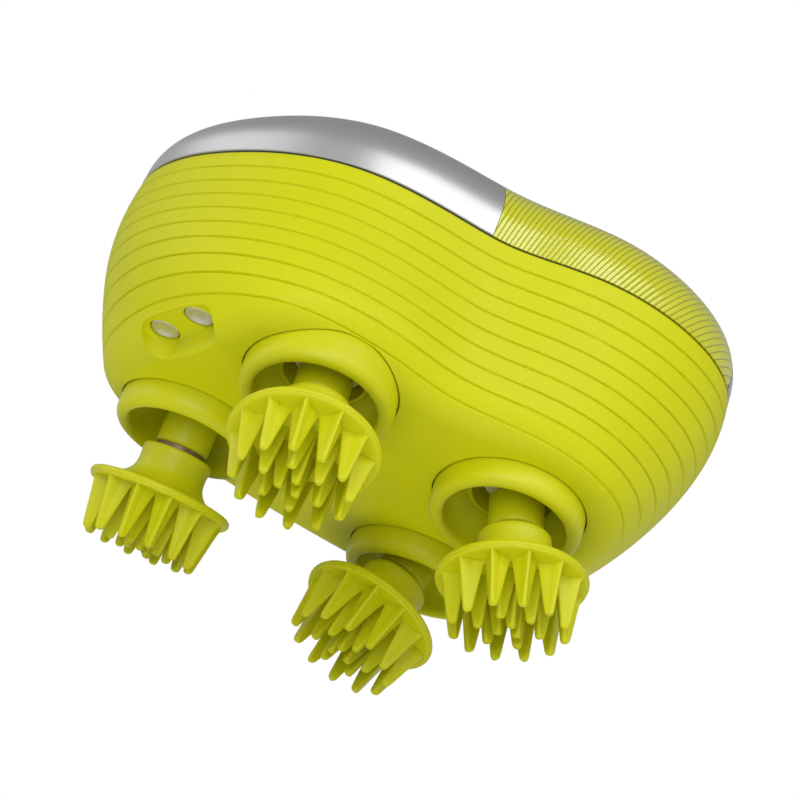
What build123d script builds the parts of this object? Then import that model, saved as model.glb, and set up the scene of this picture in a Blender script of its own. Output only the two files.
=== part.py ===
from build123d import *
from math import acos, atan2, cos, degrees, hypot, pi, radians, sin, sqrt, tan
import os

# Electric scalp massager: a bean shaped body with a silver cover, standing on the finger tips of four
# massage heads. +Z is up, +X runs along the body and -Y is the side with the waist. The origin is on
# the surface that the finger tips stand on, under the middle of the body. All lengths are millimetres.

os.makedirs("parts", exist_ok=True)

# ---- driving dimensions ----------------------------------------------------------------------------

# body
rim_half_length = 64.7
rim_half_depth = 50.2
toe_half_length = 58.0
toe_half_depth = 45.0
sole_half_length = 52.0
sole_half_depth = 41.0
belly = 1.055            # how much longer the body is half way up than straight walls would make it
rim_above_ring = 42.9    # from the plane of the collars up to the open rim of the housing
toe_above_ring = 5.5
sole_below_ring = 2.1
near_slope = 10.5        # the underside rises outwards on the waist side, degrees
far_slope = 3.0          # and on the other side
crease_radius = 80.0
edge_radius = 8.0
wall = 2.2
seam = 0.4               # visible gap between housing and cover

# cover
cover_height = 18.6
cover_wall = 2.4
cover_edge_radius = 13.0
crown_radius = 420.0
skirt_height = 3.0
skirt_wall = 1.2
skirt_taper = 0.8
lip = 1.2
panel_radius = 31.2
panel_x = 22.0
panel_y = -37.5
panel_depth = 1.5

# heads
far_half = 30.6          # half the distance between the two heads away from the waist
near_half = 24.5
head_tilt = 15.8         # the crank pins lean this much from the vertical, degrees
head_phases = [70.9, 262.2, 175.2, 311.5]
head_spins = [19.1, 26.7, 3.3, 8.3]    # how far each pattern of fingers is turned about its own axis
pivot_to_rim = 24.9      # from the point where pin and gear axis cross to the rim of the disc
neck_top = 13.8
neck_radius = 7.7
neck_waist = 0.2         # the neck is this much thinner below its rounded top
disc_radius = 15.8
disc_edge = 1.9
skin_thickness = 1.0      # under the core
finger_length = 11.2
finger_base = 2.9        # from the middle of a finger to its ridge
finger_tip = 1.0
finger_rings = [(12, 11.65, 0.0), (6, 6.4, 30.0), (3, 2.3, 0.0)]

# crank pins and what runs on them
pin_radius = 4.0
pin_top = 4.5            # the pin reaches this far above the pivot, inside the hub
pin_end = 19.0
sleeve_radius = 5.8
sleeve_top = 4.6
sleeve_end = 12.7
shoulder_radius = 5.3    # on the pin, between the sleeve and the head
shoulder_height = 1.0
core_wall = 2.0
core_flange_radius = 10.0
core_flange = 1.4
washer_radius = 5.0
washer_thickness = 0.8
screw_radius = 1.5

# collars
pivot_above_ring = 6.4
collar_radius = 16.2
collar_lip = 5.5
collar_mouth = 12.9
collar_mouth_depth = 3.5
collar_throat = 9.4
collar_seat = 2.4

# gear train
gear_y = 3.0
gear_x = -1.3
gear_module = 1.0
sun_teeth = 41
output_teeth = 30
output_gear_height = 4.0
relay_pinion_teeth = 10
fine_module = 0.6
relay_teeth = 50
motor_teeth = 10
hub_radius = 7.0
hub_below_pivot = 2.5
bush_radius = 9.0
bush_bottom = 1.5        # below the pivot
boss_top = 5.0           # above the pivot
boss_wall = 2.5
spigot_radius = 3.0
spindle_radius = 2.0
plate = 2.0
post_radius = 3.0
side_post = 36.2
deck_post_x = 50.0
deck_post_spread = 13.0
screw_thread = 1.2
screw_clear = 1.4
screw_head_radius = 2.2
screw_head = 1.4

# motor and battery
motor_radius = 12.0
motor_length = 24.0
nose_radius = 3.2
shaft_radius = 1.0
battery_radius = 9.25
battery_length = 65.0
battery_x = -35.5
battery_y = 8.0
cradle_wall = 1.8

# button, board and lamp
button_x = -20.0
button_y = 6.0
button_radius = 8.0
button_proud = 0.6
button_travel = 1.0
button_flange = 1.0
button_flange_radius = 9.2
stem_radius = 2.0
spring_radius = 6.0
spring_wire = 0.6
spring_turns = 4
board_length = 46.0
board_depth = 34.0
board_thickness = 1.6
board_x = -14.0
board_below_cover = 12.6
switch_size = 6.0
switch_height = 4.0
lamp_radius = 1.2
lamp_gap = 13.0          # from the button's centre to the lamp's

# charging contacts
contact_x = -52.2
contact_y = -5.8
contact_turn = 5.6       # the row of contacts and its recess are turned by this about Z, degrees
contact_spacing = 12.7
contact_radius = 3.2
contact_stem = 1.2
contact_floor = 3.8      # above the plane of the collars
block_height = 3.0
pocket_radius = 4.6
pocket_x = -53.1
pocket_y = -7.35
pocket_spacing = 14.7

# cover screws
cover_screws = [(46.0, -27.0), (5.0, -34.5)]
cover_post_radius = 3.4
cover_screw_radius = 1.4

# fits
gap = 0.3                # between pieces that must not touch
running = 0.05           # radial, a shaft in its hole
backlash = 0.16          # taken off each side of a gear tooth

# ---- levels and places -----------------------------------------------------------------------------

tip_reach = pivot_to_rim + finger_length
outer_ring = finger_rings[0][1] + finger_tip
pivot_z = tip_reach * cos(radians(head_tilt)) + outer_ring * sin(radians(head_tilt))
ring_z = pivot_z - pivot_above_ring
rim_z = ring_z + rim_above_ring
toe_z = ring_z + toe_above_ring
sole_z = ring_z - sole_below_ring
cover_z = rim_z + seam
crown_z = rim_z + cover_height

sun_distance = gear_module * (sun_teeth + output_teeth) / 2
far_y = gear_y + sqrt(sun_distance ** 2 - far_half ** 2)
near_y = gear_y - sqrt(sun_distance ** 2 - near_half ** 2)
head_places = [
    (gear_x - far_half, far_y),
    (gear_x - near_half, near_y),
    (gear_x + far_half, far_y),
    (gear_x + near_half, near_y),
]

gear_z = pivot_z + boss_top + gap
output_top = gear_z + output_gear_height
output_plate_z = output_top + gap
relay_pinion_z = output_plate_z + plate + gap
relay_pinion_height = 4.0
relay_wheel_z = relay_pinion_z + relay_pinion_height + gap
relay_wheel_height = 3.0
deck_z = relay_wheel_z + relay_wheel_height + gap
sun_height = relay_pinion_z + relay_pinion_height - gear_z
relay_x = gear_x + gear_module * (sun_teeth + relay_pinion_teeth) / 2
motor_x = relay_x + fine_module * (relay_teeth + motor_teeth) / 2
sun_tip = gear_module * (sun_teeth + 2) / 2
output_tip = gear_module * (output_teeth + 2) / 2
contact_z = ring_z + contact_floor
spindle_z = sole_z + wall + 1
contact_places = [
    (contact_x - offset * sin(radians(contact_turn)), contact_y + offset * cos(radians(contact_turn)))
    for offset in (-contact_spacing / 2, contact_spacing / 2)
]
post_reach = sun_tip + post_radius + 1.0
side_posts = [(gear_x - side_post, gear_y - post_radius), (gear_x + side_post, gear_y - post_radius)]
middle_posts = [(gear_x, gear_y + post_reach), (gear_x, gear_y - post_reach)]
motor_posts = [(deck_post_x, gear_y + deck_post_spread), (deck_post_x, gear_y - deck_post_spread)]
leg_z = output_plate_z + plate
board_z = crown_z - board_below_cover
board_posts = [(board_x + i * (board_length / 2 - 3), button_y + j * (board_depth / 2 - 3))
               for i in (-1, 1) for j in (-1, 1)]
screw_seat_z = cover_z + 8

# ---- the bean shaped body --------------------------------------------------------------------------

# Plan outlines, anticlockwise from the left end, as fractions of half the length and half the depth.
RIM = [(-0.994, 0.380), (-0.901, -0.167), (-0.607, -0.610), (-0.252, -0.729), (-0.082, -0.767),
       (0.057, -0.855), (0.227, -0.960), (0.444, -0.996), (0.784, -0.835), (0.977, -0.416),
       (1.000, 0.082), (0.830, 0.620), (0.366, 0.918), (-0.252, 0.998), (-0.793, 0.839)]
TOE = [(-1.016, 0.147), (-0.929, -0.453), (-0.662, -0.831), (-0.300, -0.909), (-0.076, -0.891),
       (0.045, -0.929), (0.200, -0.993), (0.390, -1.016), (0.717, -0.809), (0.898, -0.387),
       (0.960, 0.158), (0.805, 0.713), (0.357, 0.936), (-0.281, 0.980), (-0.830, 0.800)]
SOLE = [(-0.990, 0.170), (-0.900, -0.476), (-0.692, -0.890), (-0.335, -0.983), (-0.085, -0.959),
        (0.050, -0.988), (0.215, -1.032), (0.413, -1.039), (0.721, -0.817), (0.894, -0.402),
        (0.952, 0.159), (0.798, 0.695), (0.365, 0.902), (-0.288, 0.945), (-0.875, 0.817)]


def outline(shape, half_length, half_depth, inset):
    return [(u * (half_length - inset), v * (half_depth - inset)) for u, v in shape]


def rim_outline(inset):
    return outline(RIM, rim_half_length, rim_half_depth, inset)


def toe_outline(inset):
    return outline(TOE, toe_half_length, toe_half_depth, inset)


def sole_outline(inset):
    return outline(SOLE, sole_half_length, sole_half_depth, inset)


def belly_outline(inset):
    pairs = zip(rim_outline(inset), toe_outline(inset))
    return [(belly * (0.57 * a[0] + 0.43 * b[0]), 0.57 * a[1] + 0.43 * b[1]) for a, b in pairs]


def section(points, z):
    return Pos(0, 0, z) * make_face(Spline(*[Vector(x, y) for x, y in points], periodic=True))


def bowl(inset):
    belly_z = (rim_z + toe_z) / 2
    return loft([
        section(rim_outline(inset), rim_z),
        section(belly_outline(inset), belly_z),
        section(toe_outline(inset), toe_z),
        section(sole_outline(inset), sole_z - inset),
    ])


def below_underside(lift):
    """Everything under the two slopes of the underside, raised by lift."""
    near_rise = tan(radians(near_slope))
    far_rise = tan(radians(far_slope))
    reach = 2 * rim_half_depth
    crease_y = (near_rise * near_y + far_rise * far_y) / (near_rise + far_rise)
    crease_z = ring_z + lift + near_rise * (near_y - crease_y)
    bottom = -reach
    profile = Plane.YZ * make_face(Polyline(
        (crease_y - reach, bottom),
        (crease_y - reach, crease_z + near_rise * reach),
        (crease_y, crease_z),
        (crease_y + reach, crease_z + far_rise * reach),
        (crease_y + reach, bottom),
        close=True,
    ))
    block = extrude(profile, amount=2 * rim_half_length, both=True)
    crease = [e for e in block.edges().filter_by(Axis.X) if abs(e.center().Z - crease_z) < 0.01]
    return fillet(crease, crease_radius)


def body(inset, radius):
    """The housing's outer shape, or its cavity when inset is the wall."""
    block = bowl(inset) - below_underside(inset)
    edges = [e for e in block.edges() if e.geom_type != GeomType.LINE and e.center().Z < toe_z + inset]
    return fillet(edges, radius)


def dome(inset, bottom):
    """The cover's outer shape, or its cavity when inset is the wall."""
    top = crown_z - inset
    walls = loft([section(rim_outline(inset), bottom), section(rim_outline(inset + 0.6), crown_z)])
    block = walls & Pos(0, 0, top - crown_radius + inset) * Sphere(crown_radius - inset)
    edges = [e for e in block.edges() if e.center().Z > rim_z + cover_height / 3]
    return fillet(edges, cover_edge_radius - inset)


def disc(x, y, z, radius, height):
    return Pos(x, y, z) * Cylinder(radius, height, align=(Align.CENTER, Align.CENTER, Align.MIN))


def ring(x, y, z, outer, inner, height):
    return disc(x, y, z, outer, height) - disc(x, y, z - 1, inner, height + 2)


def collar_frame(index):
    """The plane that one collar sits on: the local slope of the underside."""
    x, y = head_places[index]
    slope = -near_slope if y < gear_y else far_slope
    return Pos(x, y, ring_z) * Rot(slope, 0, 0)


def head_frame(index):
    """The leaning axis of one head, with its origin at the pivot and -Z towards the fingers."""
    x, y = head_places[index]
    phase = head_phases[index]
    return Pos(x, y, pivot_z) * Rot(0, 0, phase) * Rot(0, -head_tilt, 0) * Rot(0, 0, -phase)


def turned(*points):
    """A solid of revolution about Z from points (radius, height)."""
    profile = Plane.XZ * make_face(Polyline(*points, close=True))
    return revolve(profile, Axis.Z)


# ---- gears -----------------------------------------------------------------------------------------


def gear(teeth, module, height, bore, phase):
    """A spur gear with involute flanks; one tooth is centred on the angle phase, in degrees."""
    pitch_radius = module * teeth / 2
    base_radius = pitch_radius * cos(radians(20))
    tip_radius = pitch_radius + 0.9 * module
    root_radius = pitch_radius - 1.25 * module
    half_tooth = pi / (2 * teeth) - backlash / pitch_radius
    pitch_roll = tan(radians(20)) - radians(20)

    def flank(radius):
        if radius <= base_radius:
            return half_tooth + pitch_roll
        pressure = acos(base_radius / radius)
        return half_tooth + pitch_roll - (tan(pressure) - pressure)

    start = max(root_radius, base_radius)
    radii = [start + (tip_radius - start) * step / 3 for step in range(4)]
    flanks = [(radius, flank(radius)) for radius in radii]
    if root_radius < base_radius:
        flanks.insert(0, (root_radius, flanks[0][1]))
    points = []
    for tooth in range(teeth):
        centre = radians(phase) + 2 * pi * tooth / teeth
        points += [(r * cos(centre - a), r * sin(centre - a)) for r, a in flanks]
        points += [(r * cos(centre + a), r * sin(centre + a)) for r, a in reversed(flanks)]
    wheel = extrude(make_face(Polyline(*points, close=True)), amount=height)
    return wheel - disc(0, 0, -1, bore, height + 2) if bore else wheel


def mesh_phase(teeth, driver_teeth, driver_phase, direction):
    """Tooth angle of a gear that lies at direction from its driver, so that the two are in mesh."""
    driver_step = 360 / driver_teeth
    turned_past = ((direction - driver_phase) / driver_step) % 1
    return direction + 180 + (turned_past + 0.5) * 360 / teeth


def export(name, shape):
    shape.label = name
    export_step(shape, f"parts/{name}.step")


# ---- lower housing ---------------------------------------------------------------------------------


def lower_housing():
    inside = []
    cuts = []
    for index, (x, y) in enumerate(head_places):
        seat = collar_frame(index)
        inside.append(seat * Cylinder(
            collar_radius + gap + wall, collar_seat + wall, align=(Align.CENTER, Align.CENTER, Align.MIN)))
        inside.append(disc(x, y, sole_z, bush_radius + boss_wall, pivot_z + boss_top - sole_z))
        cuts.append(seat * Pos(0, 0, collar_seat) * Cylinder(
            collar_radius + gap, 30, align=(Align.CENTER, Align.CENTER, Align.MAX)))
        cuts.append(disc(x, y, sole_z - 10, bush_radius - 0.4, 40))
        cuts.append(disc(x, y, pivot_z - bush_bottom, bush_radius, 20))
        cuts.append(disc(x, y, gear_z - gap, output_tip + 0.5, output_gear_height + 2 * gap))
    for x, y in side_posts + middle_posts:
        inside.append(disc(x, y, sole_z, post_radius, output_plate_z - sole_z))
        cuts.append(disc(x, y, output_plate_z - 10, screw_thread, 20))
    for x, y in motor_posts:
        inside.append(disc(x, y, sole_z, post_radius, leg_z - sole_z))
        cuts.append(disc(x, y, leg_z - 10, screw_thread, 20))
    for x, y in cover_screws:
        inside.append(disc(x, y, sole_z, cover_post_radius, rim_z - sole_z))
        cuts.append(disc(x, y, rim_z - 14, cover_screw_radius, 20))
    inside.append(disc(gear_x, gear_y, sole_z, spindle_radius + boss_wall, gear_z - gap - sole_z))
    cuts.append(disc(gear_x, gear_y, spindle_z, spindle_radius, 40))
    inside.append(pocket(wall, contact_z + wall))
    cuts.append(pocket(0, contact_z))
    for x, y in contact_places:
        cuts.append(disc(x, y, ring_z, contact_radius + gap / 2, 30))
    hollow = body(wall, edge_radius - wall / 2) - inside
    return body(0, edge_radius) - hollow - cuts


def pocket(extra, top):
    """The recess around the contacts, or the wall around it when extra is its thickness."""
    face = SlotCenterToCenter(pocket_spacing, 2 * (pocket_radius + extra), rotation=90 + contact_turn)
    return Pos(pocket_x, pocket_y, sole_z) * extrude(face, amount=top - sole_z)


# ---- heads -----------------------------------------------------------------------------------------


def collar():
    profile = Plane.XZ * make_face(Polyline(
        (collar_throat, collar_seat),
        (collar_radius, collar_seat),
        (collar_radius, -collar_lip),
        (collar_mouth, -collar_lip),
        (collar_mouth, collar_mouth_depth - collar_lip),
        close=True,
    ))
    corners = profile.vertices().group_by(Axis.Z)[0].sort_by(Axis.X)
    profile = fillet(corners[-1], 1.7)
    corners = [v for v in profile.vertices() if abs(v.X - collar_mouth) < 0.01 and v.Z < 0.1 - collar_lip]
    profile = fillet(corners, 1.5)
    return revolve(profile, Axis.Z)


def core_outline(inner, pocket_bottom):
    """Right hand edge of the core's section, from the top down; inner closes it on the axis side."""
    outer = pin_radius + core_wall
    cup = washer_radius + gap + core_wall - 0.4
    low = -pivot_to_rim + skin_thickness
    return [
        (inner, -neck_top - 0.5), (outer, -neck_top - 0.5), (outer, -pin_end + core_wall),
        (cup, -pin_end + core_wall), (cup, low + core_flange), (core_flange_radius, low + core_flange),
        (core_flange_radius, low), (pocket_bottom, low),
    ]


def core():
    bore = pin_radius + running
    pocket = washer_radius + gap
    return turned(*core_outline(bore, pocket), (pocket, -pin_end + gap), (bore, -pin_end + gap))


def finger(radius, angle):
    """A three-sided finger at this distance from the axis, with one ridge turned outwards."""
    top = RegularPolygon(finger_base, 3, align=None)
    end = RegularPolygon(finger_tip, 3, align=None)
    spike = loft([Pos(0, 0, 0.4) * top, Pos(0, 0, -finger_length) * end])
    return Rot(0, 0, angle) * Pos(radius, 0, -pivot_to_rim) * spike


def head_skin(spin):
    """The silicone trumpet with its fingers, moulded over the core."""
    bottom = -pivot_to_rim
    edge = disc_radius - disc_edge / 2
    waist = neck_radius - neck_waist
    with BuildLine() as line:
        Polyline((0, bottom), (edge, bottom))
        ThreePointArc((edge, bottom), (disc_radius, bottom + disc_edge / 2), (edge, bottom + disc_edge))
        ThreePointArc((edge, bottom + disc_edge),
                      (waist + 2.5, bottom + 3.3),
                      (waist, -neck_top - 4.2))
        Polyline((waist, -neck_top - 4.2), (waist, -neck_top - 2.6), (neck_radius, -neck_top - 0.6),
                 (neck_radius - 0.4, -neck_top), (0, -neck_top), (0, bottom))
    skin = revolve(Plane.XZ * make_face(line.line), Axis.Z)
    fingers = []
    for count, radius, start in finger_rings:
        fingers += [finger(radius, spin + start + 360 * number / count) for number in range(count)]
    skin += fingers
    skin -= turned(*core_outline(0, 0))
    return skin - disc(0, 0, -pin_end, pin_radius + gap, pin_end)


def spacer_sleeve():
    inner = pin_radius + running
    return turned(
        (inner, -sleeve_end), (sleeve_radius - 0.5, -sleeve_end), (sleeve_radius, -sleeve_end + 0.5),
        (sleeve_radius, -sleeve_top), (inner, -sleeve_top),
    )


def pin_blank():
    return disc(0, 0, -pin_end, pin_radius, pin_end + pin_top)


def crank_pin():
    shoulder = disc(0, 0, -sleeve_end - shoulder_height, shoulder_radius, shoulder_height)
    return pin_blank() + shoulder - disc(0, 0, -pin_end - 1, screw_radius, 8)


def pin_screw():
    washer = disc(0, 0, -pin_end - washer_thickness, washer_radius, washer_thickness)
    head = disc(0, 0, -pin_end - washer_thickness - 1.6, 2.8, 1.6)
    shank = disc(0, 0, -pin_end, screw_radius, 6)
    socket = extrude(RegularPolygon(1.3, 6), amount=1.1)
    return washer + head + shank - Pos(0, 0, -pin_end - washer_thickness - 1.6) * socket


def output_gear(index, phase):
    """The gear, the hub that holds the leaning pin, and the spigot that runs in the plate above."""
    x, y = head_places[index]
    wheel = Pos(x, y, gear_z) * gear(output_teeth, gear_module, output_gear_height, 0, phase)
    hub = disc(x, y, pivot_z - hub_below_pivot, hub_radius, output_top - pivot_z + hub_below_pivot)
    spigot = disc(x, y, output_top, spigot_radius, gap + plate - 0.2)
    return wheel + [hub, spigot] - head_frame(index) * pin_blank()


def output_bush(index):
    x, y = head_places[index]
    return ring(x, y, pivot_z - bush_bottom, bush_radius, hub_radius + running, bush_bottom + boss_top)


# ---- gear train ------------------------------------------------------------------------------------


def output_plate():
    corners = [head_places[0], head_places[1], head_places[3], head_places[2]]
    sheet = offset(make_face(Polyline(*corners, close=True)), amount=12)
    holes = [(gear_x, gear_y, sun_tip + 1), (relay_x, gear_y, spindle_radius)]
    holes += [(x, y, spigot_radius + running) for x, y in head_places]
    holes += [(x, y, screw_clear) for x, y in side_posts + middle_posts]
    holes += [(x, y, cover_post_radius + gap) for x, y in cover_screws]
    cuts = [disc(x, y, output_plate_z - 1, radius, plate + 2) for x, y, radius in holes]
    return Pos(0, 0, output_plate_z) * extrude(sheet, amount=plate) - cuts


def gear_deck():
    """The upper plate on its four legs; it holds both spindles and the nose of the motor."""
    legs = middle_posts + motor_posts
    corners = [middle_posts[0], middle_posts[1], motor_posts[1], motor_posts[0]]
    sheet = offset(make_face(Polyline(*corners, close=True)), amount=4)
    solid = Pos(0, 0, deck_z) * extrude(sheet, amount=plate)
    solid += [disc(x, y, leg_z, post_radius, deck_z - leg_z) for x, y in legs]
    holes = [(gear_x, gear_y, spindle_radius), (relay_x, gear_y, spindle_radius), (motor_x, gear_y, nose_radius)]
    holes += [(x, y, screw_clear) for x, y in legs]
    return solid - [disc(x, y, leg_z - 1, radius, deck_z + plate - leg_z + 2) for x, y, radius in holes]


def sun_gear():
    return Pos(gear_x, gear_y, gear_z) * gear(
        sun_teeth, gear_module, sun_height, spindle_radius + running, 0)


def relay_gear():
    pinion = Pos(0, 0, relay_pinion_z) * gear(
        relay_pinion_teeth, gear_module, relay_pinion_height + gap + 0.5, spindle_radius + running,
        mesh_phase(relay_pinion_teeth, sun_teeth, 0, 0))
    wheel = Pos(0, 0, relay_wheel_z) * gear(
        relay_teeth, fine_module, relay_wheel_height, spindle_radius + running, 0)
    return Pos(relay_x, gear_y, 0) * (pinion + wheel)


def motor_rotor():
    pinion = gear(motor_teeth, fine_module, relay_wheel_height, 0.6,
                  mesh_phase(motor_teeth, relay_teeth, 0, 0))
    shaft = disc(0, 0, 0, shaft_radius, relay_wheel_height + gap + plate + motor_length / 2)
    return Pos(motor_x, gear_y, relay_wheel_z) * (pinion + shaft)


def motor_case():
    bottom = deck_z + plate
    can = disc(motor_x, gear_y, bottom, motor_radius, motor_length)
    flats = Pos(motor_x, gear_y, bottom) * Box(
        2 * motor_radius, 2 * motor_radius - 4, motor_length, align=(Align.CENTER, Align.CENTER, Align.MIN))
    can = can & flats
    can += disc(motor_x, gear_y, bottom - plate, nose_radius, plate)
    can -= disc(motor_x, gear_y, bottom - plate - 1, shaft_radius + running, plate + motor_length / 2 + 3)
    return can


# ---- battery ---------------------------------------------------------------------------------------


def battery_z():
    return leg_z + cradle_wall + battery_radius


def battery(clearance, length):
    axis = Pos(battery_x, battery_y, battery_z()) * Rot(90, 0, 0)
    return axis * Cylinder(battery_radius + clearance, length)


def battery_cradle():
    block = Pos(battery_x, battery_y, leg_z) * Box(
        2 * battery_radius + 2 * cradle_wall, battery_length * 0.7, battery_radius + cradle_wall,
        align=(Align.CENTER, Align.CENTER, Align.MIN))
    heads = [disc(x, y, leg_z - 1, screw_head_radius + gap, cradle_wall + 2) for x, y in side_posts]
    return block - battery(0.1, battery_length + 10) - heads


# ---- cover -----------------------------------------------------------------------------------------


def cover_surface_z(x, y, inset):
    radius = crown_radius - inset
    return crown_z - crown_radius + sqrt(radius ** 2 - x ** 2 - y ** 2)


def rim_block(bottom, bottom_inset, top, top_inset):
    return loft([section(rim_outline(bottom_inset), bottom), section(rim_outline(top_inset), top)])


def panel_skin(clearance):
    """The outer layer of the cover inside an upright cylinder, which the ribbed panel replaces."""
    layer = dome(0, cover_z) - dome(panel_depth, rim_z - skirt_height)
    return layer & disc(panel_x, panel_y, rim_z, panel_radius + clearance, 2 * cover_height)


def top_cover():
    skirt = wall + gap
    skirt_z = rim_z - skirt_height
    lid = dome(0, cover_z) + rim_block(skirt_z, skirt + skirt_taper, cover_z + lip, skirt)
    inner = skirt + skirt_wall
    hollow = dome(cover_wall, cover_z + lip) + rim_block(
        skirt_z - 1, inner + skirt_taper, cover_z + 2 * lip, inner)
    posts = [disc(x, y, cover_z, cover_post_radius, cover_height) for x, y in cover_screws]
    posts += [disc(x, y, board_z, post_radius, cover_height) for x, y in board_posts]
    cuts = [panel_skin(0.15)]
    for x, y in cover_screws:
        cuts.append(disc(x, y, skirt_z - 1, cover_post_radius + gap, cover_z - skirt_z + 1))
        cuts.append(disc(x, y, cover_z - 1, screw_clear + 0.2, 2 * cover_height))
        cuts.append(disc(x, y, screw_seat_z, screw_head_radius + gap, 2 * cover_height))
    cuts += [disc(x, y, board_z - 1, screw_thread, 7) for x, y in board_posts]
    cuts.append(disc(button_x, button_y, cover_z, button_radius + gap, 2 * cover_height))
    cuts.append(disc(button_x + lamp_gap, button_y, cover_z, lamp_radius, 2 * cover_height))
    return lid - (hollow - posts) - cuts


def parting_seal():
    strip = section(rim_outline(0.8), rim_z) - section(rim_outline(wall), rim_z)
    return extrude(strip, amount=seam)


# ---- button, board and lamp ------------------------------------------------------------------------


def flange_top():
    """Where the flange meets the underside of the cover, on the side where the cover is lowest."""
    lowest = hypot(button_x, button_y) + button_flange_radius
    return cover_surface_z(lowest, 0, cover_wall) - gap


def button():
    top = cover_surface_z(button_x, button_y, 0) + button_proud
    cap = disc(button_x, button_y, flange_top(), button_radius, top - flange_top())
    cap = fillet(cap.edges().sort_by(Axis.Z)[-1], 1.0)
    flange = disc(button_x, button_y, flange_top() - button_flange, button_flange_radius, button_flange)
    stem_z = board_z + switch_height + button_travel + 0.05
    return cap + flange + disc(button_x, button_y, stem_z, stem_radius, flange_top() - stem_z)


def button_spring():
    bottom = board_z + spring_wire / 2
    top = flange_top() - button_flange - spring_wire / 2
    height = top - bottom
    path = Helix(height / spring_turns, height, spring_radius)
    wire = Plane(path @ 0, z_dir=path % 0) * Circle(spring_wire / 2)
    return Pos(button_x, button_y, bottom) * sweep(wire, path=path, is_frenet=True)


def board():
    middle = (Align.CENTER, Align.CENTER, Align.MAX)
    underside = board_z - board_thickness
    sheet = Pos(board_x, button_y, board_z) * Box(board_length, board_depth, board_thickness, align=middle)
    sheet -= [disc(x, y, underside - 1, screw_clear, board_thickness + 2) for x, y in board_posts]
    chip = Pos(board_x - 10, button_y - 8, underside) * Box(9, 9, 1.4, align=middle)
    socket = Pos(board_x + 12, button_y + 6, underside) * Box(10, 6, 5, align=middle)
    return sheet + [chip, socket]


def tact_switch():
    base = Pos(button_x, button_y, board_z) * Box(
        switch_size, switch_size, switch_height - 1, align=(Align.CENTER, Align.CENTER, Align.MIN))
    return base + disc(button_x, button_y, board_z + switch_height - 1, 1.7, 1)


def charge_lamp():
    x = button_x + lamp_gap
    top = cover_surface_z(x, button_y, 0)
    diode = Pos(x, button_y, board_z) * Box(2.8, 2.8, 1.2, align=(Align.CENTER, Align.CENTER, Align.MIN))
    return diode + disc(x, button_y, board_z + 1.2, lamp_radius - running, top - board_z - 1.2)


# ---- contacts and screws ---------------------------------------------------------------------------


def charging_contacts():
    """Two dished discs, each with a stem that goes up through the block."""
    pin = turned(
        (0, 0.9), (contact_radius * 0.62, 0.5), (contact_radius * 0.7, 0), (contact_radius - 0.3, 0),
        (contact_radius, 0.3), (contact_radius, wall), (contact_stem, wall), (contact_stem, wall + 5),
        (0, wall + 5))
    return Compound([Pos(x, y, contact_z) * pin for x, y in contact_places])


def contact_block():
    bottom = contact_z + wall
    holes = [disc(x, y, bottom - 1, contact_stem, block_height + 2) for x, y in contact_places]
    face = SlotCenterToCenter(contact_spacing, 2 * contact_radius + 1.2, rotation=90 + contact_turn)
    block = Pos(contact_x, contact_y, bottom) * extrude(face, amount=block_height)
    return (block & bowl(wall + gap)) - holes


def screw(x, y, top, radius, length):
    solid = disc(x, y, top - length, radius, length) + disc(x, y, top, screw_head_radius, screw_head)
    socket = extrude(RegularPolygon(screw_head_radius / 2, 6), amount=screw_head)
    return solid - Pos(x, y, top + screw_head / 2) * socket


def plate_screws():
    return Compound([screw(x, y, leg_z, screw_thread, 9) for x, y in side_posts])


def deck_screws():
    top = deck_z + plate
    return Compound([screw(x, y, top, screw_thread, top - leg_z + 9) for x, y in middle_posts + motor_posts])


def board_screws():
    upside_down = Rot(180, 0, 0)
    underside = board_z - board_thickness
    return Compound([
        Pos(x, y, underside) * upside_down * screw(0, 0, 0, screw_thread, 5) for x, y in board_posts])


def fitted_cover_screws():
    length = screw_seat_z - rim_z + 10
    return Compound([screw(x, y, screw_seat_z, cover_screw_radius, length) for x, y in cover_screws])


# ---- writing the parts -----------------------------------------------------------------------------

export("lower_housing", lower_housing())
export("top_cover", top_cover())
export("ribbed_panel", panel_skin(0))
export("parting_seal", parting_seal())
export("power_button", button())
export("button_spring", button_spring())
export("circuit_board", board())
export("tact_switch", tact_switch())
export("charge_lamp", charge_lamp())
export("battery", battery(0, battery_length))
export("battery_cradle", battery_cradle())
export("motor_case", motor_case())
export("motor_rotor", motor_rotor())
export("relay_gear", relay_gear())
export("relay_spindle", disc(relay_x, gear_y, output_plate_z, spindle_radius, deck_z + plate - output_plate_z))
export("sun_gear", sun_gear())
export("sun_spindle", disc(gear_x, gear_y, spindle_z, spindle_radius, deck_z + plate - spindle_z))
export("output_plate", output_plate())
export("gear_deck", gear_deck())
export("charging_contacts", charging_contacts())
export("contact_block", contact_block())
export("plate_screws", plate_screws())
export("deck_screws", deck_screws())
export("board_screws", board_screws())
export("cover_screws", fitted_cover_screws())

for index, (x, y) in enumerate(head_places):
    number = index + 1
    direction = degrees(atan2(y - gear_y, x - gear_x))
    phase = mesh_phase(output_teeth, sun_teeth, 0, direction)
    export(f"output_gear_{number}", output_gear(index, phase))
    export(f"output_bush_{number}", output_bush(index))
    export(f"crank_pin_{number}", head_frame(index) * crank_pin())
    export(f"pin_screw_{number}", head_frame(index) * pin_screw())
    export(f"head_core_{number}", head_frame(index) * core())
    export(f"massage_head_{number}", head_frame(index) * head_skin(head_spins[index]))
    export(f"spacer_sleeve_{number}", head_frame(index) * spacer_sleeve())
    export(f"collar_{number}", collar_frame(index) * collar())
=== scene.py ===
from math import cos, pi, radians, sin, tan

import bpy
import numpy as np
from mathutils import Matrix, Vector
from mathutils.bvhtree import BVHTree


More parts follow.
